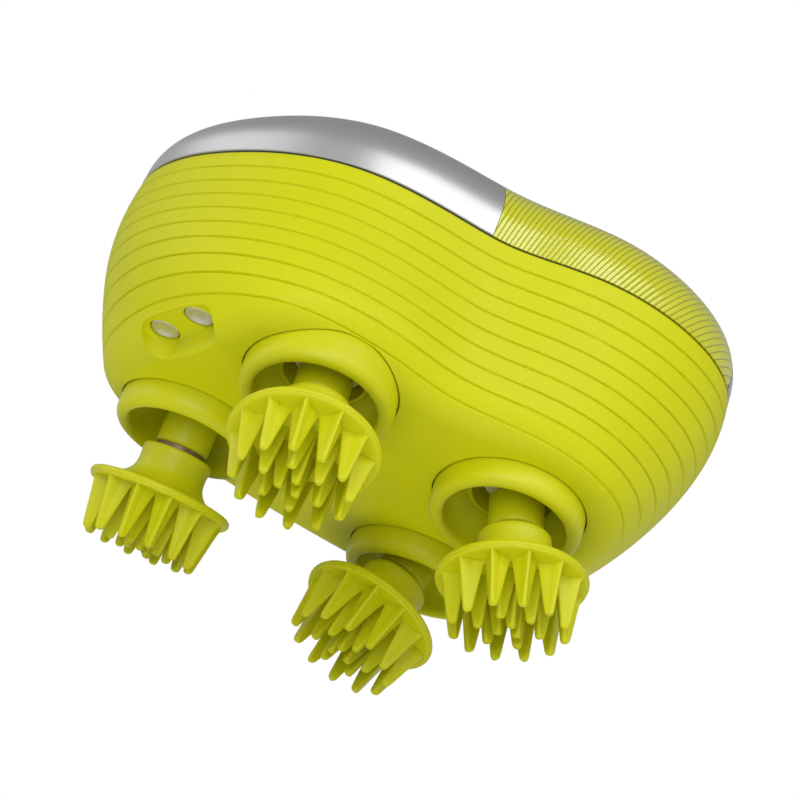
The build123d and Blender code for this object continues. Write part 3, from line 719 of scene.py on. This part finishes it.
collar_profile = [
    (9.4, 2.3), (16.1, 2.3), (16.2, 2.1), (16.2, 0.6), (16.2, -1.4), (16.18, -2.8), (16.06, -3.7),
    (15.75, -4.5), (15.3, -5.05), (14.75, -5.38), (14.2, -5.5), (13.7, -5.42), (13.3, -5.15),
    (13.05, -4.7), (12.93, -4.1), (12.9, -3.3), (12.82, -2.5), (12.55, -1.6), (12.0, -0.6),
    (11.2, 0.4), (10.2, 1.4)]


def turned(name, profile, steps, closed=True):
    """A body of revolution about Z from points (radius, height) in millimetres.

    A profile that isn't closed on itself starts and ends near the axis, where its two ends are filled.
    """
    links = [(i, i + 1) for i in range(len(profile) - 1)]
    if closed:
        links.append((len(profile) - 1, 0))
    mesh = bpy.data.meshes.new(name)
    mesh.from_pydata([(radius * MM, 0, height * MM) for radius, height in profile], links, [])
    made = bpy.data.objects.new(name, mesh)
    bpy.context.scene.collection.objects.link(made)
    edit(made)
    bpy.ops.mesh.spin(steps=steps, angle=2 * pi, center=(0, 0, 0), axis=(0, 0, 1))
    bpy.ops.mesh.select_all(action="SELECT")
    bpy.ops.mesh.remove_doubles(threshold=0.000002)
    if not closed:
        bpy.ops.mesh.select_all(action="DESELECT")
        bpy.ops.mesh.select_mode(type="EDGE")
        bpy.ops.mesh.select_non_manifold()
        bpy.ops.mesh.edge_face_add()
        bpy.ops.mesh.select_all(action="SELECT")
    bpy.ops.mesh.normals_make_consistent(inside=False)
    bpy.ops.object.mode_set(mode="OBJECT")
    return made


def put(thing, matrix):
    """Places the mesh by a matrix whose lengths are in millimetres."""
    clear_choice()
    metres = matrix.copy()
    metres.translation = matrix.translation * MM
    thing.data.transform(metres)


soft, soft_shader, soft_place = new_material("lime_collar_satin")
soft_grain = soft_place.out("ShaderNodeTexNoise", Vector=soft_place, Scale=2600.0, Detail=3.0)
soft_cloud = soft_place.out("ShaderNodeTexNoise", Vector=soft_place, Scale=60.0, Detail=2.0)
feed(soft_shader, Base_Color=soft_cloud.blend((0.545, 0.555, 0.002), (0.575, 0.580, 0.004)),
     Roughness=soft_cloud * 0.08 + 0.36, Specular_IOR_Level=0.35,
     Normal=soft_place.out("ShaderNodeBump", Strength=0.1, Distance=0.00006, Height=soft_grain))
for number, (x, y) in enumerate(head_places, 1):
    collar = turned(f"collar_lip_{number}", collar_profile, 144)
    put(collar, Matrix.Translation((x, y, ring_z)) @ Matrix.Rotation(radians(head_slope(y)), 4, "X"))
    shade(collar, 40)
    dress(collar, soft)
    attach(collar, "case")
    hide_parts(f"collar_{number}")

# ---- Massage heads ----------------------------------------------------------------------------------
# Silicone rubber moulded over a hard core: a neck, a trumpet and a disc with 21 three-sided fingers.
# The outer fingers turn a ridge outwards. Each head runs on its leaning crank pin.

head_tilt = radians(15.8)
head_phases = (70.9, 262.2, 175.2, 311.5)
head_spins = (19.1, 26.7, 3.3, 8.3)
head_profile = [
    (0.5, -23.95), (10.05, -23.95), (10.05, -22.45), (6.95, -22.45), (6.95, -16.95), (6.05, -16.95),
    (6.05, -14.25), (4.35, -14.25), (4.35, -13.8), (6.9, -13.8), (7.35, -13.9), (7.61, -14.13),
    (7.7, -14.5), (7.66, -15.1), (7.56, -15.9), (7.5, -16.8), (7.5, -17.6), (7.56, -18.4),
    (7.74, -19.15), (8.08, -19.9), (8.62, -20.65), (9.38, -21.35), (10.35, -21.9), (11.45, -22.3),
    (12.6, -22.6), (13.7, -22.8), (14.4, -22.9), (14.85, -22.98), (15.25, -23.07), (15.55, -23.25),
    (15.73, -23.55), (15.8, -23.95), (15.78, -24.15), (15.68, -24.28), (15.58, -24.33), (15.62, -24.42),
    (15.6, -24.6), (15.35, -24.82), (14.95, -24.9), (14.3, -24.84), (13.6, -24.74), (10.0, -24.66),
    (0.5, -24.62)]
disc_face = -24.9
# Number of fingers, radius and first heading in degrees of each ring.
finger_rings = ((12, 11.65, 0.0), (6, 6.4, 30.0), (3, 2.3, 0.0))
# Drop under the disc, reach of the ridges, roundness of the ridges and hollowness of the sides.
finger_sections = (
    (-0.6, 3.5, 0.25, 0.7), (0.0, 3.3, 0.28, 0.55), (0.3, 3.08, 0.3, 0.45), (0.8, 2.88, 0.32, 0.38),
    (1.6, 2.7, 0.34, 0.32), (3.1, 2.42, 0.37, 0.27), (5.4, 2.02, 0.42, 0.2), (7.6, 1.64, 0.47, 0.13),
    (9.5, 1.31, 0.52, 0.07), (10.4, 1.12, 0.54, 0.03), (10.85, 0.93, 0.54, 0.0), (11.1, 0.62, 0.42, 0.0),
    (11.2, 0.25, 0.2, 0.0))


def finger_ring(drop, reach, corner, hollowness):
    """One section of a finger: a triangle with rounded corners and slightly hollow sides."""
    points = []
    for side in range(3):
        heading = side * 2 * pi / 3
        for lean in (-60, -35, -12, 12, 35, 60):
            turn = heading + radians(lean)
            points.append((
                (reach - corner) * cos(heading) + corner * cos(turn),
                (reach - corner) * sin(heading) + corner * sin(turn), disc_face - drop))
        flat = (reach - corner) / 2 + corner
        for swing, share in ((42, 0.7), (60, 1.0), (78, 0.7)):
            turn = heading + radians(swing)
            far = (flat - hollowness * share) / cos(radians(swing - 60))
            points.append((far * cos(turn), far * sin(turn), disc_face - drop))
    return np.array(points)


sleeve_profile = [(4.05, -12.7), (4.9, -12.7), (5.35, -12.62), (5.66, -12.38), (5.78, -12.0), (5.8, -11.5),
                  (5.8, -8.0), (5.8, -4.9), (5.72, -4.68), (5.5, -4.6), (4.05, -4.6)]
one_finger = skin("finger", [finger_ring(*section) for section in finger_sections])
silicone, silicone_shader, silicone_place = new_material("lime_silicone_skin")
silicone_grain = silicone_place.out("ShaderNodeTexNoise", Vector=silicone_place, Scale=1900.0, Detail=3.0)
silicone_cloud = silicone_place.out("ShaderNodeTexNoise", Vector=silicone_place, Scale=70.0, Detail=2.0)
feed(silicone_shader, Base_Color=silicone_cloud.blend((0.545, 0.555, 0.002), (0.575, 0.580, 0.004)),
     Roughness=silicone_cloud * 0.08 + 0.38, Specular_IOR_Level=0.35, Subsurface_Weight=0.06,
     Subsurface_Scale=0.002, Subsurface_Radius=(1.0, 0.8, 0.1),
     Normal=silicone_place.out("ShaderNodeBump", Strength=0.1, Distance=0.00006, Height=silicone_grain))

trumpet = turned("head_blank", head_profile, 128, closed=False)
for count, radius, start in finger_rings:
    for number in range(count):
        copy = one_finger.copy()
        copy.data = one_finger.data.copy()
        bpy.context.scene.collection.objects.link(copy)
        heading = Matrix.Rotation(radians(start + 360 * number / count), 4, "Z")
        put(copy, heading @ Matrix.Translation((radius, 0, 0)))
        cut(trumpet, copy, "UNION")
bpy.data.objects.remove(one_finger)
shade(trumpet, 38)
dress(trumpet, silicone)
for number, ((x, y), phase, own_spin) in enumerate(zip(head_places, head_phases, head_spins), 1):
    head = trumpet.copy()
    head.data = trumpet.data.copy()
    head.name = f"silicone_head_{number}"
    bpy.context.scene.collection.objects.link(head)
    way = Matrix.Rotation(radians(phase), 4, "Z")
    lean = Matrix.Translation((x, y, pivot_z)) @ way @ Matrix.Rotation(-head_tilt, 4, "Y") @ way.inverted()
    put(head, lean @ Matrix.Rotation(radians(own_spin), 4, "Z"))
    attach(head, f"head_{number}")
    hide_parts(f"massage_head_{number}")
    sleeve = turned(f"pin_sleeve_{number}", sleeve_profile, 96)
    put(sleeve, lean)
    shade(sleeve, 40)
    dress(sleeve, soft)
    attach(sleeve, f"crank_{number}")
    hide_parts(f"spacer_sleeve_{number}")
bpy.data.objects.remove(trumpet)

# ---- Charging contacts ------------------------------------------------------------------------------
# Two nickel plated discs, dished inside a raised rim, in the recess of the underside. Each has a stem
# that a block inside the housing holds.

contact_profile = [
    (0.05, 0.72), (1.2, 0.66), (1.95, 0.5), (2.35, 0.24), (2.5, 0.06), (2.62, 0.0), (2.85, 0.0),
    (3.05, 0.08), (3.17, 0.24), (3.2, 0.5), (3.2, 2.2), (1.2, 2.2), (1.2, 7.2), (0.05, 7.2)]
contacts = []
for x, y in contact_places:
    contact = turned("contact_disc", contact_profile, 96, closed=False)
    put(contact, Matrix.Translation((x, y, contact_z)))
    contacts.append(contact)
contact_pair = joined("contact_discs", contacts)
shade(contact_pair, 35)
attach(contact_pair, "case")
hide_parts("charging_contacts")

nickel, nickel_shader, nickel_place = new_material("nickel_plate")
nickel_dust = nickel_place.out("ShaderNodeTexNoise", Vector=nickel_place, Scale=1500.0, Detail=4.0)
feed(nickel_shader, Base_Color=nickel_dust.blend((0.60, 0.57, 0.53), (0.74, 0.71, 0.68)), Metallic=0.9,
     Roughness=nickel_dust * 0.25 + 0.22,
     Normal=nickel_place.out("ShaderNodeBump", Strength=0.15, Distance=0.00004, Height=nickel_dust))
dress(contact_pair, nickel)

# ---- Power button -----------------------------------------------------------------------------------
# A silver painted cap with a shallow dish for the thumb and a fine ring around it. A flange under the
# cover keeps it in, and its stem presses the switch on the board.

button_top = float(crown(*button_place, 0)) + 0.6
flange_radius, flange_height = 9.2, 1
flange_z = float(crown(np.hypot(*button_place) + flange_radius, 0, cover_wall)) - 0.3
switch_height, stem_gap = 4, 1.05
stem_z = board_z + switch_height + stem_gap
button_profile = [
    (0.05, button_top - 0.5), (2.5, button_top - 0.46), (4.6, button_top - 0.32), (5.9, button_top - 0.12),
    (6.2, button_top - 0.02), (6.35, button_top - 0.14), (6.5, button_top - 0.02), (6.9, button_top),
    (7.35, button_top - 0.1), (7.72, button_top - 0.34), (7.94, button_top - 0.7), (8.0, button_top - 1.1),
    (8.0, flange_z), (flange_radius, flange_z), (flange_radius, flange_z - flange_height),
    (2.0, flange_z - flange_height), (2.0, stem_z), (0.05, stem_z)]
button = turned("button_cap", button_profile, 128, closed=False)
put(button, Matrix.Translation((*button_place, 0)))
shade(button, 30)
dress(button, silver)
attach(button, "power_button")
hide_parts("power_button")

# ---- Button spring ----------------------------------------------------------------------------------
# Four turns of steel wire between the board and the flange of the button. The coil stays still with the
# case.

wire = 0.3
spring_radius = 6.0
spring_turns = 4
spring_length = flange_z - flange_height - board_z
bpy.ops.mesh.primitive_circle_add(vertices=20, radius=wire * MM)
coil = bpy.context.object
coil.name = "button_coil"
coil.data.transform(Matrix.Translation((spring_radius * MM, 0, 0)) @ Matrix.Rotation(pi / 2, 4, "X"))
wind = coil.modifiers.new("wind", "SCREW")
wind.axis = "Z"
wind.angle = 2 * pi
wind.iterations = spring_turns
wind.screw_offset = (spring_length - 2 * wire) / spring_turns * MM
wind.steps = 72
bpy.ops.object.modifier_apply(modifier="wind")
edit(coil)
bpy.ops.mesh.fill_holes(sides=40)
bpy.ops.mesh.select_all(action="SELECT")
bpy.ops.mesh.normals_make_consistent(inside=False)
put(coil, Matrix.Translation((*button_place, board_z + wire)))
shade(coil, 40)
steel, steel_shader, steel_place = new_material("spring_steel")
drawn = steel_place.out("ShaderNodeTexNoise", Vector=steel_place, Scale=1400.0, Detail=3.0)
feed(steel_shader, Base_Color=drawn.blend((0.38, 0.38, 0.39), (0.56, 0.56, 0.57)), Metallic=1.0,
     Roughness=drawn * 0.2 + 0.22,
     Normal=steel_place.out("ShaderNodeBump", Strength=0.1, Distance=0.00003, Height=drawn))
dress(coil, steel)
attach(coil, "case")
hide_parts("button_spring")
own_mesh(coil)

# ---- Inner works ------------------------------------------------------------------------------------
# The seal in the seam, the gears, plates, pins, screws, motor, battery and board are the frame's own
# nodes with better materials in their slots.


def finish_nodes(names, material):
    """Puts one material in the slots of some of the frame's own nodes."""
    for name in names:
        for held in nodes[name].material_slots:
            held.material = material


def grained(name, first, second, scale, rough, metallic=0.0, bump=0.1, stretch=(1, 1, 1)):
    """A material whose colour, roughness and relief follow one noise, which stretch can draw out."""
    material, shader, place = new_material(name)
    mapped = place.out("ShaderNodeMapping", Vector=place, Scale=stretch)
    noise = place.out("ShaderNodeTexNoise", Vector=mapped, Scale=scale, Detail=4.0)
    feed(shader, Base_Color=noise.blend(first, second), Metallic=metallic,
         Roughness=noise * 0.2 + rough - 0.1,
         Normal=place.out("ShaderNodeBump", Strength=bump, Distance=0.00005, Height=noise))
    return material


four = ("1", "2", "3", "4")
finish_nodes(["parting_seal"],
             grained("seal_rubber", (0.010, 0.010, 0.010), (0.022, 0.022, 0.020), 900.0, 0.7))
finish_nodes(["crank_pin_" + n for n in four],
             grained("dark_bronze", (0.16, 0.11, 0.075), (0.30, 0.21, 0.15), 1800.0, 0.38, 0.85, bump=0.2))
finish_nodes(["output_bush_" + n for n in four] + ["motor_rotor"],
             grained("turned_brass", (0.52, 0.36, 0.13), (0.66, 0.48, 0.20), 500.0, 0.3, 1.0,
                     stretch=(1, 1, 14)))
screws = ["plate_screws", "deck_screws", "board_screws", "cover_screws"]
finish_nodes(["pin_screw_" + n for n in four] + screws + ["relay_spindle", "sun_spindle"],
             grained("turned_steel", (0.36, 0.36, 0.37), (0.55, 0.55, 0.56), 500.0, 0.3, 1.0,
                     stretch=(1, 1, 12)))
finish_nodes(["motor_case"],
             grained("drawn_steel_can", (0.40, 0.40, 0.41), (0.56, 0.56, 0.57), 300.0, 0.36, 1.0,
                     bump=0.15, stretch=(8, 8, 1)))
finish_nodes(["sun_gear", "relay_gear"] + ["output_gear_" + n for n in four],
             grained("acetal_gear", (0.60, 0.59, 0.53), (0.74, 0.73, 0.68), 260.0, 0.4))
finish_nodes(["output_plate", "gear_deck", "battery_cradle"],
             grained("grey_moulding", (0.020, 0.021, 0.023), (0.036, 0.037, 0.040), 1400.0, 0.55, bump=0.3))
finish_nodes(["head_core_" + n for n in four] + ["contact_block", "tact_switch"],
             grained("black_moulding", (0.008, 0.008, 0.008), (0.018, 0.018, 0.018), 1600.0, 0.5,
                     bump=0.25))
finish_nodes(["charge_lamp"],
             grained("lamp_lens_clear", (0.55, 0.60, 0.56), (0.66, 0.70, 0.66), 700.0, 0.22))

wrap, wrap_shader, wrap_place = new_material("battery_wrap")
wrap_split = wrap_place.node("ShaderNodeSeparateXYZ", Vector=wrap_place)
cell_middle, wrapped_reach = 0.008, 0.0308
along_cell = Socket(wrap_split.id_data, wrap_split.outputs["Y"])
from_middle = wrap_place.maths("ABSOLUTE", along_cell - cell_middle)
bare = wrap_place.maths("GREATER_THAN", from_middle, wrapped_reach)
wrinkle = wrap_place.out("ShaderNodeTexNoise", Vector=wrap_place, Scale=160.0, Detail=3.0)
wrap_colour = wrinkle.blend((0.02, 0.07, 0.24), (0.03, 0.10, 0.32))
feed(wrap_shader, Base_Color=bare.blend(wrap_colour, (0.5, 0.5, 0.5)), Metallic=bare,
     Roughness=wrinkle * 0.15 + 0.25,
     Normal=wrap_place.out("ShaderNodeBump", Strength=0.2, Distance=0.0001, Height=wrinkle))
finish_nodes(["battery"], wrap)

mask, mask_shader, mask_place = new_material("board_solder_mask")
traces = mask_place.out("ShaderNodeTexBrick", {"offset": 0.37}, output=1, Vector=mask_place, Scale=300.0,
                        Mortar_Size=0.05, Brick_Width=1.3, Row_Height=0.55)
weave = mask_place.out("ShaderNodeTexNoise", Vector=mask_place, Scale=900.0, Detail=2.0)
mask_colour = weave.blend((0.006, 0.07, 0.025), (0.010, 0.10, 0.035))
feed(mask_shader, Base_Color=traces.blend(mask_colour, (0.03, 0.20, 0.07)),
     Roughness=weave * 0.15 + 0.25, Coat_Weight=0.3,
     Normal=mask_place.out("ShaderNodeBump", Strength=0.3, Distance=0.00005, Height=traces))
finish_nodes(["circuit_board"], mask)
